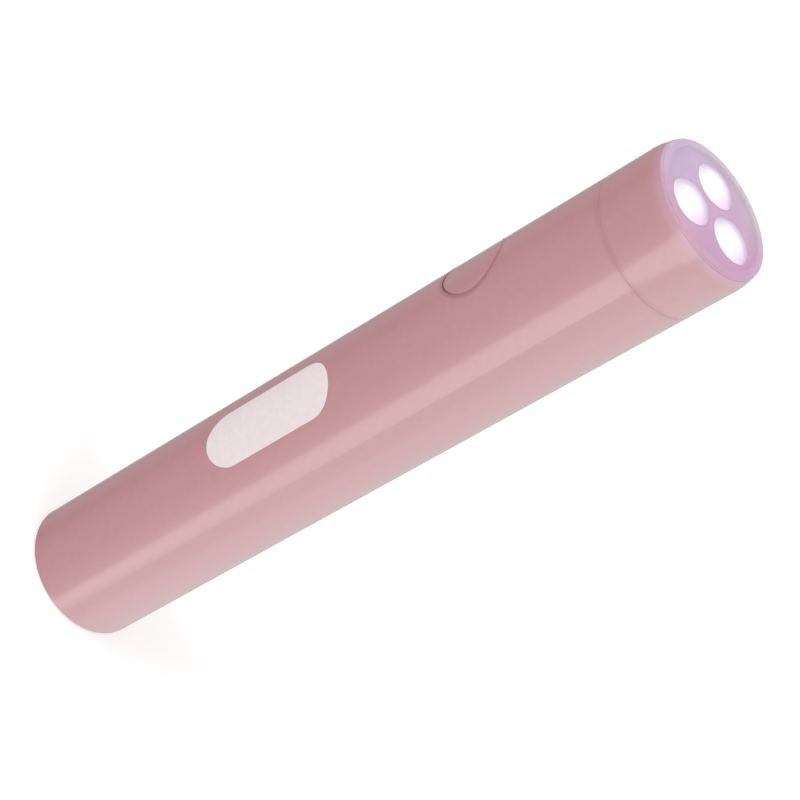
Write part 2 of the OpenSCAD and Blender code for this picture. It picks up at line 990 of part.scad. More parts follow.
module tail_cap() {
    color("#c4929a")
        difference() {
            rotate_extrude()
                polygon([
                    [0, 0],
                    [cap_r - cap_bevel, 0],
                    [cap_r, cap_bevel],
                    [cap_r, frame_z],
                    [cap_r - skirt_wall, frame_z],
                    [cap_r - skirt_wall, cap_t],
                    [0, cap_t]
                ]);
            translate([0, 0, -eps])
                linear_extrude(cap_t + 2 * eps)
                    stadium(usb_w + 2 * fit_gap, usb_h + 2 * fit_gap);
            translate([0, 0, -eps])
                linear_extrude(usb_mouth_bevel)
                    stadium(usb_w + 2 * fit_gap + usb_mouth_bevel, usb_h + 2 * fit_gap + usb_mouth_bevel);
        }
}

body_tube();
head_bezel();
front_lens();
lens_gasket();
reflector();
led_base(0);  // led_base_1
led_base(1);  // led_base_2
led_base(2);  // led_base_3
led_dome(0);  // led_dome_1
led_dome(1);  // led_dome_2
led_dome(2);  // led_dome_3
led_board();
heat_sink();
led_screws();
led_lead_red();
led_lead_black();
button_cap();
switch_plunger();
switch_base();
switch_cover();
switch_dome();
switch_legs();
driver_board();
driver_chip();
driver_inductor();
driver_capacitors();
driver_resistors();
board_screws();
inner_frame();
battery_cell();
battery_cap();
battery_ring();
tab_positive();
tab_negative();
foam_pad();
cell_lead_red();
cell_lead_black();
charge_board();
charge_chip();
charge_capacitors();
charge_lead_red();
charge_lead_black();
usb_shell();
usb_tongue();
usb_contacts();
tail_cap();
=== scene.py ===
# %% [markdown]
# # A pen-shaped nail lamp
#
# The lamp is a slim pink barrel that stands on its flat tail. A seam parts the
# barrel from its head, a push button lies flush in the side, and three lit LED
# cups shine through a clear lens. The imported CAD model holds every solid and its
# size. This file gives those solids their finishes, adds the smooth skins that a
# camera sees close up, and lights them as a small product is lit in a studio.

import json
import math

import bmesh
import bpy
import numpy as np
from mathutils import Matrix, Vector


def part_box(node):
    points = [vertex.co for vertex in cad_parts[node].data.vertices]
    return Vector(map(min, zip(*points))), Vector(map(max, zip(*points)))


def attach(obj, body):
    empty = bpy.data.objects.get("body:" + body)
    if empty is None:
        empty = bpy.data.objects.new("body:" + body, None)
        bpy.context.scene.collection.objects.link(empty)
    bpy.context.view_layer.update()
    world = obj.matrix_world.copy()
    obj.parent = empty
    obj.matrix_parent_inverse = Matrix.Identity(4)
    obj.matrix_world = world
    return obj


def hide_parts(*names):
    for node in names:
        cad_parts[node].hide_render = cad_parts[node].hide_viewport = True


MM = 0.001


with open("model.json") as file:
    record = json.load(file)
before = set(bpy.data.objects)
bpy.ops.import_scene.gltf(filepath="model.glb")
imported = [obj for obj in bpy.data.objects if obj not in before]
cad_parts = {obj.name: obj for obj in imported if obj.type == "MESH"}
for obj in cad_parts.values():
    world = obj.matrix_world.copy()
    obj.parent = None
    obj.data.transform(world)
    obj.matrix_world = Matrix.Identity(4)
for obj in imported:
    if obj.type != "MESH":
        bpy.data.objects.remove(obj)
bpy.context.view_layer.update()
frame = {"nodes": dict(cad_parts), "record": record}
nodes = frame["nodes"]

# %% [markdown]
# ## The camera
#
# The lamp is 20 mm thick and 116.5 mm long, and its outline in the picture fixes
# where the lens of the camera was: in front and above, 34 degrees over the table,
# and turned so that the barrel runs across the frame. A camera can be aimed with
# a constraint, but this one is rolled as well, so its three directions are
# written down and go into its matrix as columns.

# %% Camera
camera_place = Vector((255.35, -96.49, 247.11)) * MM
camera_right = Vector((-0.27557, 0.63834, 0.71873))
camera_up = Vector((-0.57025, -0.71047, 0.41237))
camera_back = camera_right.cross(camera_up)

camera_data = bpy.data.cameras.new("studio_camera")
camera_data.lens = 112.5
camera_data.sensor_width = 36
camera_data.clip_start = 0.01
camera = bpy.data.objects.new("studio_camera", camera_data)
bpy.context.scene.collection.objects.link(camera)
turn = Matrix((camera_right, camera_up, camera_back)).transposed()
camera.matrix_world = Matrix.Translation(camera_place) @ turn.to_4x4()
bpy.context.scene.camera = camera
print("camera at", [round(c, 4) for c in camera_place])

# %% [markdown]
# ## Small helpers for nodes
#
# A finish is a small graph of nodes, and the same few moves come back in every
# one: add a node with its settings, give a socket a number or a link, do a sum,
# and carry a number from one span to another. Each of those is a helper here. The
# Standard view transform shows the colours as they are worked out, without a film
# curve, so that white paper stays white.

# %% Helpers for nodes
bpy.context.scene.view_settings.view_transform = "Standard"


def add(graph, kind, **values):
    """Adds a node; a value whose name is an input goes there, any other is a setting."""
    made = graph.nodes.new(kind)
    for name, value in values.items():
        field = name.replace("_", " ").title()
        if field in made.inputs:
            made.inputs[field].default_value = value
        else:
            setattr(made, name, value)
    return made


def feed(graph, socket, value):
    """Gives a socket a value: a link if it is another node's output, else a number."""
    if isinstance(value, bpy.types.NodeSocket):
        graph.links.new(value, socket)
    else:
        socket.default_value = value


def calc(graph, operation, *values):
    """A Math node on numbers or on other nodes' outputs; gives its output."""
    made = add(graph, "ShaderNodeMath", operation=operation)
    for socket, value in zip(made.inputs, values):
        feed(graph, socket, value)
    return made.outputs[0]


def carry(graph, value, span, to=(0.0, 1.0), kind="LINEAR"):
    """A value carried from one span of numbers to another, and held at its ends."""
    made = add(graph, "ShaderNodeMapRange", interpolation_type=kind)
    feed(graph, made.inputs["Value"], value)
    for field, number in zip(("From Min", "From Max", "To Min", "To Max"), (*span, *to)):
        feed(graph, made.inputs[field], number)
    return made.outputs["Result"]


def eased(graph, value, low, high):
    """A value that rises smoothly from 0 at low to 1 at high, or the other way round."""
    return carry(graph, value, (low, high), kind="SMOOTHSTEP")


print("view transform:", bpy.context.scene.view_settings.view_transform)

# %% [markdown]
# ## Helpers for colours and materials
#
# Every finish starts alike: a new material with its Principled shader and the
# place of each point on the object. A colour ramp turns a number into a colour,
# and two colours are mixed by a share or multiplied.

# %% Helpers for colours
def ramp_of(graph, value, *stops, kind="EASE"):
    """Colours along a value: each stop is a position and a colour."""
    ramp = add(graph, "ShaderNodeValToRGB")
    ramp.color_ramp.interpolation = kind
    for element, (position, tone) in zip(ramp.color_ramp.elements, stops):
        element.position, element.color = position, (*tone, 1)
    graph.links.new(value, ramp.inputs["Fac"])
    return ramp.outputs["Color"]


def blend_colors(graph, share, first, second, kind="MIX"):
    """Two colours mixed by a share, or one multiplied by the other."""
    mix = add(graph, "ShaderNodeMix", data_type="RGBA", blend_type=kind)
    feed(graph, mix.inputs["Factor"], share)
    graph.links.new(first, mix.inputs[6])
    graph.links.new(second, mix.inputs[7])
    return mix.outputs[2]


def start(name):
    """A new material: its graph, its Principled shader and its Object coordinates."""
    material = bpy.data.materials.new(name)
    material.use_nodes = True
    graph = material.node_tree
    shader = graph.nodes["Principled BSDF"]
    place = add(graph, "ShaderNodeTexCoord").outputs["Object"]
    return material, graph, shader, place


def object_xyz(graph):
    """The X, Y and Z of each point on the object, in metres."""
    split = add(graph, "ShaderNodeSeparateXYZ")
    graph.links.new(add(graph, "ShaderNodeTexCoord").outputs["Object"], split.inputs[0])
    return split.outputs


# %% [markdown]
# ## What nearly every surface needs
#
# No real surface has one flat value. Its colour and its roughness drift a little,
# and it carries a fine relief from its mould or its paint. Noise gives all three.
# Object coordinates are in metres, so a noise of scale 1000 has features about a
# millimetre across. Fractal noise keeps close to 0.5, so only its middle part is
# stretched over the two ends of a drift.

# %% Helpers for surfaces
COLOR_SPAN = (0.35, 0.65)
ROUGH_SPAN = (0.3, 0.7)
ROUGH_DRIFT = 0.05
MICRON = 0.000001


def cloudy(graph, place, scale, detail):
    """Fractal noise at a place; the higher the detail, the finer its smallest features."""
    noise = add(graph, "ShaderNodeTexNoise", scale=scale, detail=detail)
    graph.links.new(place, noise.inputs["Vector"])
    return noise.outputs["Fac"]


def mottle(graph, place, scale, dark, light, detail=3.0):
    """Colour that drifts between two close tones, as moulded or printed surfaces do."""
    low, high = COLOR_SPAN
    return ramp_of(graph, cloudy(graph, place, scale, detail), (low, dark), (high, light), kind="LINEAR")


def spread(graph, place, scale, low, high):
    """A number that drifts between low and high, for roughness."""
    return carry(graph, cloudy(graph, place, scale, 3.0), ROUGH_SPAN, (low, high))


def grain(graph, shader, place, scale, microns):
    """Fine relief of a height in thousandths of a millimetre, as a bump on the shader."""
    bump = add(graph, "ShaderNodeBump", strength=1.0, distance=microns * MICRON)
    graph.links.new(cloudy(graph, place, scale, 2.0), bump.inputs["Height"])
    graph.links.new(bump.outputs["Normal"], shader.inputs["Normal"])


def plain_color(graph, tone):
    """A single colour with a faint drift, to mix with others."""
    place = add(graph, "ShaderNodeTexCoord").outputs["Object"]
    return mottle(graph, place, 300, np.array(tone) * 0.98, np.array(tone) * 1.02)


print("colour drifts over noise", COLOR_SPAN, "and roughness over", ROUGH_SPAN)

# %% [markdown]
# ## Lacquered pink
#
# The barrel, the head, the button and the tail cap are moulded, then sprayed with
# a pink base and a clear coat. The base scatters light softly. The coat lies over
# it and mirrors the studio lamps as one long bright band. One rough layer would
# blur that band, so the coat is the shader's own second layer, smoother than the
# base. Sprayed lacquer has a faint orange peel, a sixth of a millimetre across.

# %% Pink finish
def lacquer(name, tone, drift=0.015, peel=0.4):
    """A softly scattering base of one tone, with orange peel, under a smooth clear coat."""
    material, graph, shader, place = start(name)
    tone = np.array(tone)
    color = mottle(graph, place, 900, tone * (1 - drift), tone * (1 + drift))
    graph.links.new(color, shader.inputs["Base Color"])
    graph.links.new(spread(graph, place, 700, 0.33, 0.39), shader.inputs["Roughness"])
    shader.inputs["Coat Weight"].default_value = 1.0
    shader.inputs["Coat Roughness"].default_value = 0.12
    shader.inputs["Coat IOR"].default_value = 1.9
    grain(graph, shader, place, 6000, peel)
    return material


PINK = (0.545, 0.257, 0.276)
finish = {
    "pink_shell": lacquer("pink lacquer", PINK),
    "pink_button": lacquer("pink lacquer of the button", PINK),
}
print("pink finishes:", sorted(finish))

# %% [markdown]
# ## Moulded plastics, rubber and foam
#
# Inside, the lamp is plain: a white frame, black mouldings, coloured wires. Each
# is one base colour with a slight drift, a roughness that drifts too, and the
# fine texture that a spark-eroded mould leaves. They differ in a few numbers
# alone, so those stand in a table: the two tones, the roughness, the height of
# the relief in thousandths of a millimetre, and the scale of its noise.

# %% Plain finishes
def moulded(name, dark, light, rough, relief=2, scale=2500):
    """One base colour, a roughness round a middle value, and the texture of a mould."""
    material, graph, shader, place = start(name)
    graph.links.new(mottle(graph, place, scale / 3, dark, light), shader.inputs["Base Color"])
    roughness = spread(graph, place, scale / 2, rough - ROUGH_DRIFT, rough + ROUGH_DRIFT)
    graph.links.new(roughness, shader.inputs["Roughness"])
    grain(graph, shader, place, scale, relief)
    return material


PLAIN = {
    "frame_white": ("white frame plastic", (0.68, 0.66, 0.63), (0.74, 0.73, 0.70), 0.5),
    "ring_white": ("white fibre paper", (0.76, 0.76, 0.73), (0.86, 0.86, 0.83), 0.85, 10, 5000),
    "led_ceramic": ("white LED ceramic", (0.80, 0.78, 0.72), (0.86, 0.85, 0.80), 0.6),
    "switch_black": ("black switch plastic", (0.010, 0.010, 0.011), (0.018, 0.018, 0.020), 0.45),
    "chip_black": ("black chip resin", (0.012, 0.012, 0.013), (0.022, 0.022, 0.024), 0.55, 4),
    "ferrite": ("grey ferrite", (0.030, 0.030, 0.032), (0.055, 0.055, 0.058), 0.6, 8),
    "capacitor_tan": ("tan ceramic", (0.33, 0.22, 0.11), (0.42, 0.29, 0.15), 0.4),
    "wire_red": ("red wire sleeve", (0.42, 0.018, 0.014), (0.50, 0.026, 0.020), 0.42),
    "wire_black": ("black wire sleeve", (0.008, 0.008, 0.009), (0.014, 0.014, 0.015), 0.42),
    "foam_grey": ("grey foam", (0.025, 0.025, 0.028), (0.060, 0.060, 0.066), 0.95, 60, 4000),
    "cell_sleeve": ("blue shrink sleeve", (0.05, 0.14, 0.36), (0.07, 0.18, 0.42), 0.25, 3, 800),
}
for slot, looks in PLAIN.items():
    finish[slot] = moulded(*looks)
print("with plain finishes:", len(finish))

# %% [markdown]
# ## Metals
#
# Sheet steel, nickel, aluminium and gold plate are all mirrors with fine marks.
# Rolling and extruding draw those marks out along one direction, which a noise
# squeezed along that axis gives at once.

# %% Metal finishes
def metal(name, tone, rough, stretch, scale=1500):
    """A mirror of one tone whose marks are drawn out along the axis of small stretch."""
    material, graph, shader, place = start(name)
    mapping = add(graph, "ShaderNodeMapping")
    mapping.inputs["Scale"].default_value = stretch
    graph.links.new(place, mapping.inputs["Vector"])
    drawn = mapping.outputs["Vector"]
    tone = np.array(tone)
    graph.links.new(mottle(graph, drawn, scale, tone * 0.92, tone), shader.inputs["Base Color"])
    graph.links.new(spread(graph, drawn, scale, rough * 0.7, rough * 1.3), shader.inputs["Roughness"])
    shader.inputs["Metallic"].default_value = 1.0
    grain(graph, shader, drawn, scale * 2, 1)
    return material


METALS = {
    "sheet_metal": ("bright stamped sheet", (0.60, 0.61, 0.63), 0.22, (1, 1, 0.1)),
    "nickel": ("rolled nickel", (0.62, 0.58, 0.50), 0.3, (1, 0.1, 1)),
    "aluminium": ("extruded aluminium", (0.58, 0.59, 0.61), 0.35, (0.1, 1, 1)),
    "screw_steel": ("plated screw steel", (0.35, 0.36, 0.38), 0.28, (1, 1, 0.2)),
    "contact_gold": ("gold plated contact", (0.72, 0.48, 0.16), 0.2, (1, 1, 0.1)),
}
for slot, looks in METALS.items():
    finish[slot] = metal(*looks)
print("with metals:", len(finish))

# %% [markdown]
# ## Circuit boards
#
# A board is glass fibre under a coloured mask. The weave shows through as a faint
# square texture, so the mask's colour follows two crossed waves. Each repeats
# about every 0.6 mm, as the bundles of fibre do.

# %% Board finishes
def board(name, dark, light):
    """A smooth mask whose colour follows the weave of the glass fibre under it."""
    material, graph, shader, place = start(name)
    weave = []
    for direction in ("X", "Z"):
        wave = add(graph, "ShaderNodeTexWave", bands_direction=direction, scale=500, distortion=0.4)
        graph.links.new(place, wave.inputs["Vector"])
        weave.append(wave.outputs["Fac"])
    mask = ramp_of(graph, calc(graph, "MULTIPLY", *weave), (0.0, dark), (1.0, light), kind="LINEAR")
    graph.links.new(mask, shader.inputs["Base Color"])
    shader.inputs["Roughness"].default_value = 0.3
    grain(graph, shader, place, 3000, 2)
    return material


finish["board_green"] = board("green solder mask", (0.010, 0.085, 0.035), (0.014, 0.11, 0.048))
finish["board_white"] = board("white solder mask", (0.76, 0.78, 0.73), (0.83, 0.85, 0.80))
print("with boards:", len(finish))

# %% [markdown]
# ## The clear lens
#
# The lens is clear plastic with a breath of violet, and its plug stands on the
# reflector's plate. Polished plastic over a thin gap of air would mirror the
# plate as a dark crescent. So the foot of the plug is frosted, and the mesh of the
# lens, made below, sinks it 0.02 mm into the plate, as if it lay there wet. The
# index of refraction is kept under that of real plastic, because a high one traps
# light in the plug and darkens its rim.

# %% Clear finish
HAZE, FROST = 0.05, 0.45
LENS_IOR = 1.3
plate_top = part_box("reflector")[1].z / MM


def clear(name, tint, foot):
    """See-through with a faint tint: hazy all over, and frosted below a height in mm."""
    material, graph, shader, place = start(name)
    tint = np.array(tint)
    graph.links.new(mottle(graph, place, 400, tint * 0.985, tint), shader.inputs["Base Color"])
    shader.inputs["Transmission Weight"].default_value = 1.0
    frosted = calc(graph, "LESS_THAN", object_xyz(graph)["Z"], foot * MM)
    graph.links.new(calc(graph, "MULTIPLY_ADD", frosted, FROST - HAZE, HAZE), shader.inputs["Roughness"])
    shader.inputs["IOR"].default_value = LENS_IOR
    return material


finish["clear_lens"] = clear("clear lens with a faint violet", (0.95, 0.91, 0.98), plate_top)
print("lens frosted below", round(plate_top, 2), "mm")

# %% [markdown]
# ## Lit LEDs and cups
#
# The three LEDs are on, so their domes glow white. Deep in the cups round them a
# camera sees plain white, and over the last quarter of the depth, up to the
# mouth, it fades. The light also falls off towards both ends of a cup along one
# level direction. At the far end it blushes lilac, where the violet light leaves
# at a slant. A real reflector gets that from many mirror bounces, which would be
# slow and grainy here, so the bright coat glows by itself. How deep a point lies,
# and how far along the blush direction, are two numbers that each cup's mesh
# carries.

# %% Glowing finishes
WHITE = (1.0, 1.0, 1.0)
COAT_GLOW = 0.95


def glowing(name, tone, light, strength):
    """A pale surface that gives off a light of its own."""
    material, graph, shader, place = start(name)
    tone = np.array(tone)
    graph.links.new(mottle(graph, place, 900, tone * 0.95, tone), shader.inputs["Base Color"])
    graph.links.new(spread(graph, place, 900, 0.2, 0.3), shader.inputs["Roughness"])
    shader.inputs["Emission Color"].default_value = (*light, 1)
    shader.inputs["Emission Strength"].default_value = strength
    return material


def lit_coat(name):
    """A coat whose light follows two numbers of its mesh: depth, from the mouth down,
    and slant, from one end of the blush direction to the other."""
    material, graph, shader, place = start(name)
    coat = mottle(graph, place, 900, (0.42, 0.38, 0.44), (0.46, 0.42, 0.48))
    graph.links.new(coat, shader.inputs["Base Color"])
    graph.links.new(spread(graph, place, 900, 0.3, 0.4), shader.inputs["Roughness"])
    slant = add(graph, "ShaderNodeAttribute", attribute_name="slant").outputs["Fac"]
    depth = add(graph, "ShaderNodeAttribute", attribute_name="depth").outputs["Fac"]
    blush = ramp_of(graph, slant, (0.62, WHITE), (0.96, (0.62, 0.44, 0.61)))
    fade = ramp_of(graph, depth, (0.0, (0.30, 0.25, 0.30)), (0.25, (0.98, 1.0, 0.96)))
    rise = ramp_of(graph, slant, (0.03, (0.50, 0.40, 0.48)), (0.30, WHITE))
    light = blend_colors(graph, 1.0, blush, fade, "MULTIPLY")
    light = blend_colors(graph, 1.0, light, rise, "MULTIPLY")
    graph.links.new(light, shader.inputs["Emission Color"])
    shader.inputs["Emission Strength"].default_value = COAT_GLOW
    return material


finish["cup_coat"] = lit_coat("lit coat of a cup")
finish["led_glow"] = glowing("lit LED dome", (0.5, 0.47, 0.52), (1.0, 0.93, 1.0), 1.0)
print("with lens and lights:", len(finish))

# %% [markdown]
# ## Stray violet light
#
# The plate between the cups and the ring round the lens catch the stray violet
# light, and that light is painted on them. Their colour drifts from cool lavender to
# a warmer lilac across the face, pinker at the near side and grey at the far one,
# which is painted light too, so one helper gives that colour to both. Part of it
# goes into the surface's colour and part into a glow of painted light, because
# light that comes from inside doesn't depend on the studio's lamps.

# %% Finishes in stray light
BLUSH_WAY = np.array((0.3535, 0.9354))
FAR_WAY = np.array((-BLUSH_WAY[1], BLUSH_WAY[0]))
FACE_HALF = 9.5
VIOLET_COOL, VIOLET_WARM = (0.41, 0.325, 0.43), (0.43, 0.26, 0.38)
VIOLET_GLOW = 0.6


def along(graph, place, way):
    """How far a point lies along a level direction, from 0 at one rim of the face to 1
    at the other."""
    dot = add(graph, "ShaderNodeVectorMath", operation="DOT_PRODUCT")
    graph.links.new(place, dot.inputs[0])
    dot.inputs[1].default_value = (*way, 0)
    return carry(graph, dot.outputs["Value"], (-FACE_HALF * MM, FACE_HALF * MM))


def stray_violet(name, near, far, rough):
    """Painted violet light: cool to warm along the blush direction, pinker at the near side, grey at the
    far one.
    """
    material, graph, shader, place = start(name)
    tone = ramp_of(graph, along(graph, place, BLUSH_WAY), (0.20, VIOLET_COOL), (0.62, VIOLET_WARM))
    away = along(graph, place, FAR_WAY)
    tone = blend_colors(graph, eased(graph, away, 0.35, 0.0), tone, plain_color(graph, near))
    tone = blend_colors(graph, eased(graph, away, 0.55, 1.0), tone, plain_color(graph, far))
    cloud = mottle(graph, place, 220, (0.95, 0.93, 0.96), WHITE, 1.0)
    tone = blend_colors(graph, 1.0, tone, cloud, "MULTIPLY")
    graph.links.new(tone, shader.inputs["Base Color"])
    graph.links.new(tone, shader.inputs["Emission Color"])
    shader.inputs["Emission Strength"].default_value = VIOLET_GLOW
    roughness = spread(graph, place, 900, rough - ROUGH_DRIFT, rough + ROUGH_DRIFT)
    graph.links.new(roughness, shader.inputs["Roughness"])
    return material


PLATE_NEAR, PLATE_FAR = (0.42, 0.285, 0.37), (0.385, 0.305, 0.36)
RING_NEAR, RING_FAR = (0.44, 0.28, 0.345), (0.43, 0.38, 0.41)
# Both the plate and the ring get painted violet light, in their colour and in a glow.
finish["reflector_metal"] = stray_violet("plate in stray violet light", PLATE_NEAR, PLATE_FAR, 0.4)
finish["pale_gasket"] = stray_violet("lilac silicone", RING_NEAR, RING_FAR, 0.5)
print("all finishes:", len(finish))

# %% [markdown]
# ## Pink with painted violet light at the mouth and painted shade at the seam and the button
#
# The head is moulded of the same pink as the barrel, but its wall thins towards
# the mouth, and there some of the violet light comes through it. That light is
# painted into the finish: the pink lacquer with a base that turns lilac over the
# last 1.6 mm.
#
# Beside the seam and round the button the pink is a little deeper. That is painted
# shade, for the light that bounces from wall to wall in a narrow joint and takes up
# the colour twice. The finishes of barrel, head and button multiply their base by a
# darker tone of painted shade there, less and less away from the edge.

# %% Helpers for painted light and shade at the edges
# Painted violet light at the mouth: its reach in mm and its lilac.
MOUTH_REACH, MOUTH_VIOLET_LIGHT = 1.6, (0.57, 0.305, 0.395)
# Painted shade beside the seam, the button hole and the button's rim: each reach in mm and its tone.
SEAM_REACH, SEAM_SHADE_TONE = 0.9, (0.93, 0.88, 0.89)
HOLE_RADIUS, HOLE_REACH, HOLE_SHADE_TONE = 5.0, 0.8, (0.78, 0.66, 0.68)
CAP_RADIUS, CAP_REACH, CAP_SHADE_TONE = 4.95, 0.35, (0.7, 0.55, 0.55)


def base_of(material):
    """The graph of a lacquer, its Base Color socket and the colour that feeds it."""
    graph = material.node_tree
    base = graph.nodes["Principled BSDF"].inputs["Base Color"]
    return graph, base, base.links[0].from_socket


def paint_violet_light(material, low, high):
    """Paints violet light into the base colour: it turns lilac from one height in mm to another."""
    graph, base, pink = base_of(material)
    share = eased(graph, object_xyz(graph)["Z"], low * MM, high * MM)
    graph.links.new(blend_colors(graph, share, pink, plain_color(graph, MOUTH_VIOLET_LIGHT)), base)


def paint_edge_shade(material, off, reach, tone):
    """Paints shade at an edge: multiplies the base colour by a darker tone there, less and
    less up to a reach in mm. The distance to the edge is off, an output in metres."""
    graph, base, pink = base_of(material)
    painted_shade = ramp_of(graph, eased(graph, off, 0.0, reach * MM), (0.0, tone), (1.0, WHITE))
    graph.links.new(blend_colors(graph, 1.0, pink, painted_shade, "MULTIPLY"), base)


def paint_shade_at_height(material, height, reach, tone):
    """Paints shade into the colour above and below a height in mm."""
    graph = material.node_tree
    off = calc(graph, "SUBTRACT", object_xyz(graph)["Z"], height * MM)
    paint_edge_shade(material, calc(graph, "ABSOLUTE", off), reach, tone)


def paint_shade_at_circle(material, height, radius, reach, tone):
    """Paints shade into the colour beside a circle round the button's axis. A point on the
    far side of the lamp gets a whole metre added to its distance, which leaves it out."""
    graph = material.node_tree
    x, y, z = object_xyz(graph)
    up = calc(graph, "SUBTRACT", z, height * MM)
    squares = calc(graph, "ADD", calc(graph, "POWER", x, 2.0), calc(graph, "POWER", up, 2.0))
    off = calc(graph, "SUBTRACT", calc(graph, "SQRT", squares), radius * MM)
    off = calc(graph, "ADD", calc(graph, "ABSOLUTE", off), calc(graph, "GREATER_THAN", y, 0.0))
    paint_edge_shade(material, off, reach, tone)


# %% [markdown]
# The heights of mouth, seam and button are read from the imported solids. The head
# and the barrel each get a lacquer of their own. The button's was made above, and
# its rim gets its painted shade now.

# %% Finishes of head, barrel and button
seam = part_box("body_tube")[1].z / MM
head_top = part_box("head_bezel")[1].z / MM
cap_low, cap_high = (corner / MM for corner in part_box("button_cap"))
button_height = (cap_low.z + cap_high.z) / 2
violet_mouth = lacquer("pink lacquer with a violet mouth", PINK)
paint_violet_light(violet_mouth, head_top - MOUTH_REACH, head_top)
barrel_pink = lacquer("pink lacquer of the barrel", PINK)
for material in (violet_mouth, barrel_pink):
    paint_shade_at_height(material, seam, SEAM_REACH, SEAM_SHADE_TONE)
paint_shade_at_circle(barrel_pink, button_height, HOLE_RADIUS, HOLE_REACH, HOLE_SHADE_TONE)
paint_shade_at_circle(finish["pink_button"], button_height, CAP_RADIUS, CAP_REACH, CAP_SHADE_TONE)
print("heights in mm: button", round(button_height, 2), "seam", round(seam, 2), "mouth", round(head_top, 2))

# %% [markdown]
# ## Dressing the solids
#
# The imported record names a material slot for each of its nodes, so one loop gives
# every solid its finish. The barrel alone doesn't take the common pink, but the
# one with painted shade at its seam and its button hole.

# %% Give every solid its finish
subparts = frame["record"]["subparts"]
for subpart in subparts:
    solid = nodes[subpart["node"]]
    solid.data.materials.clear()
    solid.data.materials.append(finish[subpart["material_slot"]])
nodes["body_tube"].data.materials[0] = barrel_pink
print("dressed solids:", len(subparts))

# %% [markdown]
# ## Meshes from arrays
#
# The new pieces are grids of points worked out with numpy, a row for each step
# along the shape and a column for each step round it. One helper makes a mesh of
# such a grid. It can close the grid round its columns, it melts the rows that
# meet at a pole into one point, and it turns all faces outwards.

# %% Helper for grids
MELT_METRES = 1e-7
SHARP_DEGREES = 30


def grid_piece(name, points, material, round_columns=False, body="lamp"):
    """A mesh from an array of rows and columns of points; its faces join each point to
    the next in its row and in its column, and the last column to the first if asked."""
    rows, columns = points.shape[:2]
    index = np.arange(rows * columns).reshape(rows, columns)
    if round_columns:
        index = np.concatenate([index, index[:, :1]], axis=1)
    corners = [index[:-1, :-1], index[:-1, 1:], index[1:, 1:], index[1:, :-1]]
    faces = np.stack(corners, axis=-1).reshape(-1, 4)
    mesh = bpy.data.meshes.new(name)
    mesh.from_pydata(points.reshape(-1, 3).tolist(), [], faces.tolist())
    work = bmesh.new()
    work.from_mesh(mesh)
    bmesh.ops.remove_doubles(work, verts=work.verts, dist=MELT_METRES)
    bmesh.ops.recalc_face_normals(work, faces=work.faces)
    work.to_mesh(mesh)
    work.free()
    mesh.shade_smooth()
    mesh.set_sharp_from_angle(angle=math.radians(SHARP_DEGREES))
    piece = bpy.data.objects.new(name, mesh)
    bpy.context.scene.collection.objects.link(piece)
    mesh.materials.append(material)
    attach(piece, body)
    print(name, "faces:", len(mesh.polygons))
    return piece


def lathe(profile, steps=192, centre=(0, 0)):
    """Grid of a profile of (radius, height) rows in mm, carried round an upright axis."""
    profile = np.array(profile, float) * MM
    angle = np.linspace(0, 2 * np.pi, steps, endpoint=False)
    radius, height = profile[:, :1], profile[:, 1:]
    x = centre[0] * MM + radius * np.cos(angle)
    y = centre[1] * MM + radius * np.sin(angle)
    return np.stack([x, y, np.broadcast_to(height, x.shape)], axis=-1)


def arc(centre, radius, from_degrees, to_degrees, steps):
    """Points (x, y) on a circle from one angle to another."""
    angle = np.radians(np.linspace(from_degrees, to_degrees, steps))
    return np.stack([centre[0] + radius * np.cos(angle), centre[1] + radius * np.sin(angle)], axis=-1)


print("edges over", SHARP_DEGREES, "degrees stay sharp")

# %% [markdown]
# ## The head
#
# The head is a turned shell. Seen close up, its edge at the seam is softly rounded
# and its mouth leans inwards, so it is turned again from a profile with those
# radii. Below the seam its spigot goes on into the barrel as before.

# %% Head
head_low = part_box("head_bezel")[0].z / MM
head_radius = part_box("head_bezel")[1].x / MM
SPIGOT_RADIUS, SPIGOT_CHAMFER = 8.7, 0.3
SPIGOT_BORE, HEAD_BORE, STEP_HEIGHT = 7.6, 8.4, 107.0
SEAM_ROUND, SEAM_CLOSE = 0.1, 0.085
LEAN_FROM, LEAN_RADIUS, LEAN_DEGREES = 113.1, 6.54, 18.8
MOUTH_RADIUS, MOUTH_ROUND = 9.5, 0.15
seam_edge = seam - SEAM_CLOSE
head_profile = np.concatenate([
    [(SPIGOT_BORE, head_low), (SPIGOT_RADIUS - SPIGOT_CHAMFER, head_low)],
    [(SPIGOT_RADIUS, head_low + SPIGOT_CHAMFER), (SPIGOT_RADIUS, seam_edge)],
    arc((head_radius - SEAM_ROUND, seam_edge + SEAM_ROUND), SEAM_ROUND, 270, 360, 9),
    arc((head_radius - LEAN_RADIUS, LEAN_FROM), LEAN_RADIUS, 0, LEAN_DEGREES, 9),
    arc((MOUTH_RADIUS, head_top - MOUTH_ROUND), MOUTH_ROUND, LEAN_DEGREES, 90, 7),
    [(HEAD_BORE, head_top), (HEAD_BORE, STEP_HEIGHT), (SPIGOT_BORE, STEP_HEIGHT), (SPIGOT_BORE, head_low)],
])
head = grid_piece("soft_edged_head", lathe(head_profile), violet_mouth, round_columns=True)
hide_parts("head_bezel")

# %% [markdown]
# ## The button
#
# The button's face is a piece of the barrel's own cylinder, and its rim is rounded
# over the last 0.8 mm, which a finger feels and light catches. A lathe can't
# follow the cylinder, so each row of its grid is a circle round the button's axis
# whose points take their depth from the barrel. The rows of the wall, the flange
# and the stem under it are flat instead.

# %% Button cap
FLANGE_RADIUS, FLANGE_TOP, FLANGE_UNDER = cap_high.x, -6.638, -5.838
POCKET_RADIUS, POCKET_ROOF, STEM_RADIUS = 3.8, -8.4, 1.5
RIM_WIDTH, RIM_DROP = 0.8, 0.2


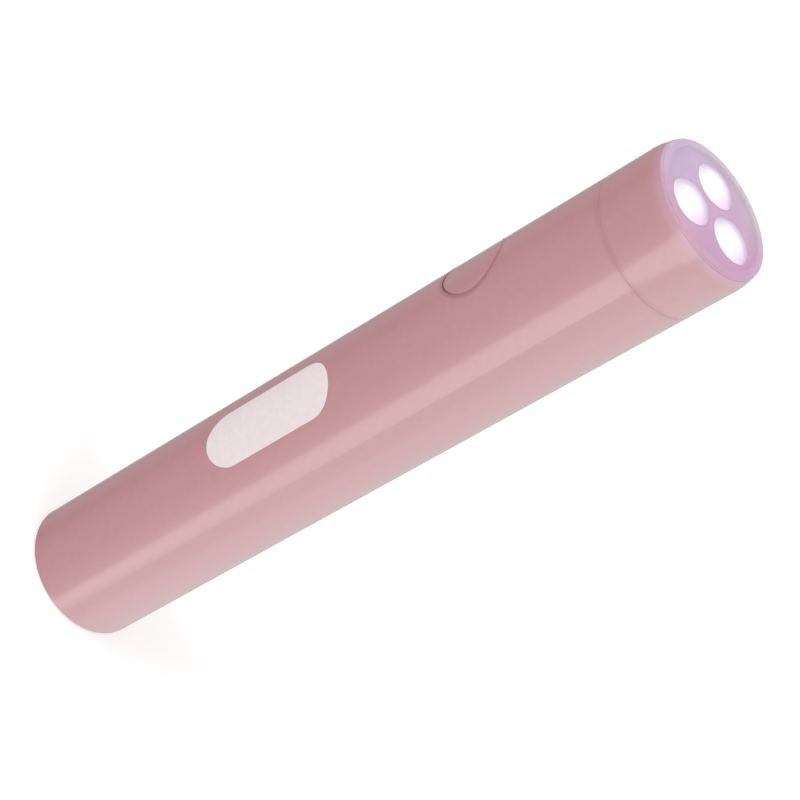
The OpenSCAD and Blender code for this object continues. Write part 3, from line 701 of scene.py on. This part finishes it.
def cap_surface(columns=128):
    """Grid of circles round the button's axis: the rows of the face and its rim lie on
    the barrel's cylinder, sunk along a quarter ellipse; the other rows are flat."""
    quarter = np.linspace(0, np.pi / 2, 9)
    face = np.linspace(0, CAP_RADIUS - RIM_WIDTH, 12)[:-1]
    under = [(CAP_RADIUS, FLANGE_TOP), (FLANGE_RADIUS, FLANGE_TOP), (FLANGE_RADIUS, FLANGE_UNDER),
             (POCKET_RADIUS, FLANGE_UNDER), (POCKET_RADIUS, POCKET_ROOF), (STEM_RADIUS, POCKET_ROOF),
             (STEM_RADIUS, cap_high.y), (0, cap_high.y)]
    flat_radius, flat_depth = np.array(under).T
    radius = np.concatenate([face, CAP_RADIUS - RIM_WIDTH * (1 - np.sin(quarter)), flat_radius])
    depth = np.concatenate([face * 0, RIM_DROP * (1 - np.cos(quarter)), flat_depth])
    follows = np.arange(len(radius)) < len(face) + len(quarter)
    angle = np.linspace(0, 2 * np.pi, columns, endpoint=False)
    x = radius[:, None] * np.cos(angle)
    z = button_height + radius[:, None] * np.sin(angle)
    y = depth[:, None] - follows[:, None] * np.sqrt(head_radius**2 - x**2)
    return np.stack([x, y, z], axis=-1) * MM


cap = grid_piece("round_rimmed_button", cap_surface(), finish["pink_button"],
                 round_columns=True, body="button")
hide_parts("button_cap")

# %% [markdown]
# ## The lens
#
# The lens is one turned shape: a plug that drops into the head, a flange over the
# lilac ring, a softly rounded rim and a low crown. Glass shows a polygon's edges
# at once, so it is turned again with many steps.

# %% Lens
lens_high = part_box("front_lens")[1] / MM
ring_low, ring_high = (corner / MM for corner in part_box("lens_gasket"))
plug_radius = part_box("reflector")[1].x / MM
rim_radius = lens_high.x
CROWN = 0.4
RIM_ROUND, RIM_CHAMFER = 0.32, 0.05
WET = 0.02
crown_edge = rim_radius - RIM_ROUND
crown_radius = (crown_edge**2 + CROWN**2) / (2 * CROWN)
crown_half = math.degrees(math.asin(crown_edge / crown_radius))
rim_height = lens_high.z - CROWN
plug_foot = plate_top - WET
lens_profile = np.concatenate([
    [(0, plug_foot), (plug_radius, plug_foot), (plug_radius, ring_high.z)],
    [(rim_radius - RIM_CHAMFER, ring_high.z), (rim_radius, ring_high.z + RIM_CHAMFER)],
    arc((crown_edge, rim_height - RIM_ROUND), RIM_ROUND, 0, 90 - crown_half, 10),
    arc((0, lens_high.z - crown_radius), crown_radius, 90 - crown_half, 90, 24),
])
lens = grid_piece("clear_crowned_lens", lathe(lens_profile), finish["clear_lens"], round_columns=True)
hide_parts("front_lens")
print("crown of radius", round(crown_radius, 1), "mm on a rim of", round(rim_radius, 2), "mm")

# %% [markdown]
# ## The ring under the lens
#
# The ring is soft silicone, pressed between the flange and the head until it
# fills the joint flush, with a thin lip down the side of the plug. Soft rubber
# wets glass, so no air is left between them and the ring shows bright through the
# rim. A renderer needs that said in its own way: the ring reaches a little into
# the glass, and then a ray meets the rubber while it is still inside the lens.
# Two surfaces in one place, or a thin gap of air, would show as a black line
# instead.

# %% Ring
RING_UP, RING_ROUND = 0.24, 0.1
RING_INSET, RING_DIP = 0.01, 0.03
LIP_OUT = 0.04
lip_radius = plug_radius - WET
lip_foot = plug_foot + WET / 2
ring_radius = ring_high.x
ring_top = ring_high.z + RING_UP
seat_radius = rim_radius - RING_INSET
ring_profile = np.concatenate([
    [(lip_radius, lip_foot)],
    arc((lip_radius + RING_ROUND, ring_top - RING_ROUND), RING_ROUND, 180, 90, 5),
    arc((ring_radius - RING_ROUND, ring_top - RING_ROUND), RING_ROUND, 90, 0, 5),
    [(ring_radius, ring_high.z - RING_INSET), (seat_radius, ring_high.z - RING_DIP)],
    [(seat_radius, ring_low.z), (plug_radius + LIP_OUT, ring_low.z)],
    [(plug_radius + LIP_OUT, lip_foot), (lip_radius, lip_foot)],
])
ring = grid_piece("lilac_seal_ring", lathe(ring_profile), finish["pale_gasket"], round_columns=True)
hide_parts("lens_gasket")
print("ring from", round(lip_radius, 2), "to", round(ring_radius, 2), "mm")

# %% [markdown]
# ## The lit cups
#
# Each cup is a parabola turned round its own axis, narrow at the LED and wide at
# the plate. Its radius grows with the square root of the height, as a headlamp's
# does, which sends the light out nearly straight. The coat is a film that lies on
# the moulded cup, so it follows the same curve a hundredth of a millimetre inside
# it. Two numbers at each point drive its glow: how deep it lies under the mouth,
# and how far it lies towards the lilac blush.

# %% Lit cups
CUP_MOUTH, CUP_FOOT, CUP_GAP = 3.2, 1.9, 0.12
CUP_STEPS = 96
FILM = 0.01
for number in (1, 2, 3):
    base_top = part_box(f"led_base_{number}")[1].z / MM
    dome_low, dome_high = (np.array(corner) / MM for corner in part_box(f"led_dome_{number}"))
    centre = (dome_low + dome_high)[:2] / 2
    share = np.linspace(0, 1, 24)
    radius = np.sqrt(CUP_FOOT**2 + share * (CUP_MOUTH**2 - CUP_FOOT**2)) - FILM
    height = base_top + CUP_GAP + share * (plate_top - base_top - CUP_GAP)
    inner = np.stack([radius, height], axis=-1)
    outer = inner[::-1] + (FILM / 2, 0)
    film = lathe(np.concatenate([inner, outer, inner[:1]]), CUP_STEPS, centre)
    cup = grid_piece(f"cup_coat_{number}", film, finish["cup_coat"], round_columns=True)
    points = np.empty(len(cup.data.vertices) * 3)
    cup.data.vertices.foreach_get("co", points)
    points = points.reshape(-1, 3) / MM
    sideways = (points[:, :2] - centre) @ BLUSH_WAY / CUP_MOUTH
    deep = (plate_top - points[:, 2]) / (plate_top - base_top)
    for measure, values in (("slant", (sideways + 1) / 2), ("depth", deep)):
        attribute = cup.data.attributes.new(measure, "FLOAT", "POINT")
        attribute.data.foreach_set("value", values.astype(np.float32))

# %% [markdown]
# ## The bare label
#
# A white pill is printed on the barrel, below the button and a little round from
# it. It stays bare. On the real lamp it is a film of ink, so it is modelled as a
# thin skin that bends round the barrel: each row runs round the barrel, and its
# width follows a stadium, full in the middle and round at both ends. A texture
# could draw it too, but a skin has a true edge at every distance.

# %% Label
LABEL_LOW, LABEL_HIGH = 36.75, 60.0
LABEL_WIDTH = 8.3
LABEL_TURN = math.radians(-58.0)
INK = 0.02
barrel_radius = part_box("body_tube")[1].x / MM


def label_skin(radius, rows=64, columns=48):
    """Grid on a cylinder of that radius: heights close in towards both ends as a cosine,
    and each row is as wide as a stadium is at its height."""
    middle, half = (LABEL_LOW + LABEL_HIGH) / 2, (LABEL_HIGH - LABEL_LOW) / 2
    end = LABEL_WIDTH / 2
    height = -np.cos(np.linspace(0, np.pi, rows)) * half
    past = np.clip(np.abs(height) - (half - end), 0, end)
    width = np.sqrt(end**2 - past**2)
    angle = LABEL_TURN + width[:, None] * np.linspace(-1, 1, columns) / barrel_radius
    z = np.broadcast_to((middle + height)[:, None], angle.shape)
    return np.stack([radius * np.cos(angle), radius * np.sin(angle), z], axis=-1) * MM


def ink(name):
    """Printed white with a breath of the pink below it, under a thin varnish."""
    material, graph, shader, place = start(name)
    tone = mottle(graph, place, 1200, (0.84, 0.73, 0.74), (0.88, 0.765, 0.78))
    graph.links.new(tone, shader.inputs["Base Color"])
    graph.links.new(spread(graph, place, 900, 0.38, 0.46), shader.inputs["Roughness"])
    shader.inputs["Coat Weight"].default_value = 0.5
    shader.inputs["Coat Roughness"].default_value = 0.15
    grain(graph, shader, place, 5000, 0.5)
    return material


label = grid_piece("bare_label", label_skin(barrel_radius + INK), ink("white ink"))
thicken = label.modifiers.new("ink thickness", "SOLIDIFY")
thicken.thickness = 2 * INK * MM
thicken.offset = -1

# %% [markdown]
# ## Floor
#
# The floor is a plain pale sweep, wide enough to fill the frame from any side. It
# is matt and shows the lamp's soft shadow. For the camera it glows a little on
# its own as well, so that it reads as white paper and not as grey. Mirror rays
# pass through it and see the studio's soft boxes, which stand all round.

# %% Floor
FLOOR_METRES = 12.0
PAPER_TONE, PAPER_GLOW = 0.9, 0.3


def choose(graph, share, first, second):
    """The first shader where the share is 0, the second where it is 1."""
    mix = add(graph, "ShaderNodeMixShader")
    for socket, source in zip(mix.inputs, (share, first, second)):
        graph.links.new(source, socket)
    return mix.outputs[0]


def stage_floor(size):
    """A level square at height 0, standing on its own and not attached to the lamp."""
    mesh = bpy.data.meshes.new("studio_floor")
    half = size / 2
    corners = [(-half, -half, 0), (half, -half, 0), (half, half, 0), (-half, half, 0)]
    mesh.from_pydata(corners, [], [(0, 1, 2, 3)])
    floor = bpy.data.objects.new("studio_floor", mesh)
    bpy.context.scene.collection.objects.link(floor)
    return floor


floor = stage_floor(FLOOR_METRES)
paper = bpy.data.materials.new("studio paper")
paper.use_nodes = True
graph = paper.node_tree
graph.nodes.clear()
matt = add(graph, "ShaderNodeBsdfDiffuse", color=(PAPER_TONE, PAPER_TONE, PAPER_TONE, 1)).outputs[0]
glow = add(graph, "ShaderNodeEmission", color=(*WHITE, 1), strength=PAPER_GLOW).outputs[0]
both = add(graph, "ShaderNodeAddShader")
graph.links.new(matt, both.inputs[0])
graph.links.new(glow, both.inputs[1])
path = add(graph, "ShaderNodeLightPath").outputs
seen = choose(graph, path["Is Camera Ray"], matt, both.outputs[0])
gap = add(graph, "ShaderNodeBsdfTransparent").outputs[0]
surface = choose(graph, path["Is Glossy Ray"], seen, gap)
out = add(graph, "ShaderNodeOutputMaterial")
graph.links.new(surface, out.inputs["Surface"])
floor.data.materials.append(paper)
print("floor:", floor.name)

# %% [markdown]
# ## Studio light
#
# The world is the tent that small glossy things are shot in. Matt surfaces see it
# as one even white. Mirror rays see its soft boxes: upright strips of light whose
# brightness follows the compass direction, under an even white roof. A table of
# direction and brightness goes into a colour ramp, read with the arc tangent of
# the ray's own direction. Nothing here depends on where the camera stands.

# %% Walls of the tent
WALLS = [
    (-180, 0.68), (-160, 0.66), (-140, 0.32), (-120, 0.27), (-100, 0.16), (-80, 0.26), (-60, 0.40),
    (-40, 0.45), (-20, 0.55), (0, 0.75), (10, 0.92), (24, 1.05), (40, 1.12), (56, 1.18), (68, 1.25),
    (80, 1.32), (100, 1.17), (120, 1.00), (140, 0.80), (160, 0.66),
]
FRONT_AZIMUTH = -20.7
BRIGHTEST = 2.0

world = bpy.data.worlds.new("studio")
bpy.context.scene.world = world
world.use_nodes = True
world.cycles.sampling_method = "NONE"
graph = world.node_tree
graph.nodes.clear()

way = add(graph, "ShaderNodeTexCoord").outputs["Generated"]
parts = add(graph, "ShaderNodeSeparateXYZ")
graph.links.new(way, parts.inputs[0])
compass = calc(graph, "ARCTAN2", parts.outputs["Y"], parts.outputs["X"])
ray_height = calc(graph, "ARCSINE", parts.outputs["Z"])

walls = add(graph, "ShaderNodeValToRGB")
turned = calc(graph, "DIVIDE", calc(graph, "ADD", compass, math.pi), 2 * math.pi)
graph.links.new(turned, walls.inputs["Fac"])
stops = sorted((((azimuth + FRONT_AZIMUTH + 180) % 360) / 360, brightness / BRIGHTEST)
               for azimuth, brightness in WALLS)
walls.color_ramp.elements.remove(walls.color_ramp.elements[0])
walls.color_ramp.elements[0].position = stops[0][0]
walls.color_ramp.elements[0].color = (stops[0][1],) * 3 + (1,)
for position, brightness in stops[1:]:
    walls.color_ramp.elements.new(position).color = (brightness,) * 3 + (1,)
print("directions in the tent:", len(stops))

# %% [markdown]
# One more strip is laid over the walls. It draws the long bright band on the
# barrel. The higher a ray goes, the wider the strip is, between two limits, and
# its edges are soft. Above the horizon the roof takes over little by little.

# %% Bright strip and roof
STRIP_AZIMUTH, STRIP_LEVEL = FRONT_AZIMUTH + 25, 0.70
STRIP_AT_HORIZON, STRIP_WIDENS = 0.535, 0.5
STRIP_NARROWEST, STRIP_WIDEST, STRIP_SOFT = 0.13, 0.36, 0.09
ROOF_FROM, ROOF_FULL, ROOF_LEVEL = 0.0, 0.3, 0.9

off_strip = calc(graph, "SUBTRACT", compass, math.radians(STRIP_AZIMUTH))
off_strip = calc(graph, "ABSOLUTE", calc(graph, "WRAP", off_strip, math.pi, -math.pi))
half_width = calc(graph, "MULTIPLY_ADD", ray_height, STRIP_WIDENS, STRIP_AT_HORIZON)
half_width = calc(graph, "MAXIMUM", half_width, STRIP_NARROWEST)
half_width = calc(graph, "MINIMUM", half_width, STRIP_WIDEST)
outside = calc(graph, "ADD", half_width, STRIP_SOFT)
inside = calc(graph, "SUBTRACT", half_width, STRIP_SOFT)
strip = eased(graph, off_strip, outside, inside)
level = calc(graph, "MULTIPLY", walls.outputs["Color"], BRIGHTEST)
level = calc(graph, "MULTIPLY_ADD", strip, STRIP_LEVEL, level)
roof = eased(graph, ray_height, ROOF_FROM, ROOF_FULL)
level = calc(graph, "MULTIPLY_ADD", calc(graph, "SUBTRACT", ROOF_LEVEL, level), roof, level)
print("strip at", round(STRIP_AZIMUTH, 1), "degrees, roof from", ROOF_FROM, "to", ROOF_FULL, "radians")

# %% [markdown]
# A ray from the camera sees a plain white backdrop, also through the lens. A
# mirrored ray sees the soft boxes, and every other one the even tent.

# %% What each ray sees
TENT_LEVEL, BACKDROP_LEVEL = 0.60, 1.0

boxes = add(graph, "ShaderNodeBackground", color=(*WHITE, 1))
graph.links.new(level, boxes.inputs["Strength"])
tent = add(graph, "ShaderNodeBackground", color=(*WHITE, 1), strength=TENT_LEVEL)
backdrop = add(graph, "ShaderNodeBackground", color=(*WHITE, 1), strength=BACKDROP_LEVEL)
path = add(graph, "ShaderNodeLightPath").outputs
lit = choose(graph, path["Is Glossy Ray"], tent.outputs[0], boxes.outputs[0])
straight = calc(graph, "MAXIMUM", path["Is Camera Ray"], path["Is Transmission Ray"])
surface = choose(graph, straight, lit, backdrop.outputs[0])
out = add(graph, "ShaderNodeOutputWorld")
graph.links.new(surface, out.inputs["Surface"])
print("levels: tent", TENT_LEVEL, "backdrop", BACKDROP_LEVEL)

# %% [markdown]
# ## Two lamps
#
# Two broad lamps stand left and right of the camera and give the barrel its soft
# roundness. They're suns with a wide angle, which act like large diffusers and
# light every height of the lamp alike. They aren't seen in mirrors, because the
# tent's soft boxes are.

# %% Lamps
def diffuser(name, azimuth, elevation, strength, angle=50):
    """A wide sun that shines from a compass direction and a height, in degrees."""
    light = bpy.data.lights.new(name, "SUN")
    light.energy = strength * math.pi
    light.angle = math.radians(angle)
    lamp = bpy.data.objects.new(name, light)
    bpy.context.scene.collection.objects.link(lamp)
    a, e = math.radians(azimuth), math.radians(elevation)
    source = Vector((math.cos(a) * math.cos(e), math.sin(a) * math.cos(e), math.sin(e)))
    lamp.matrix_world = source.to_track_quat("Z", "Y").to_matrix().to_4x4()
    lamp.visible_glossy = False
    print(name, "shines from", round(azimuth, 1), "degrees round and", elevation, "degrees up")


diffuser("right_diffuser", FRONT_AZIMUTH + 50, 40, 0.287)
diffuser("left_diffuser", FRONT_AZIMUTH - 65, 35, 0.33)
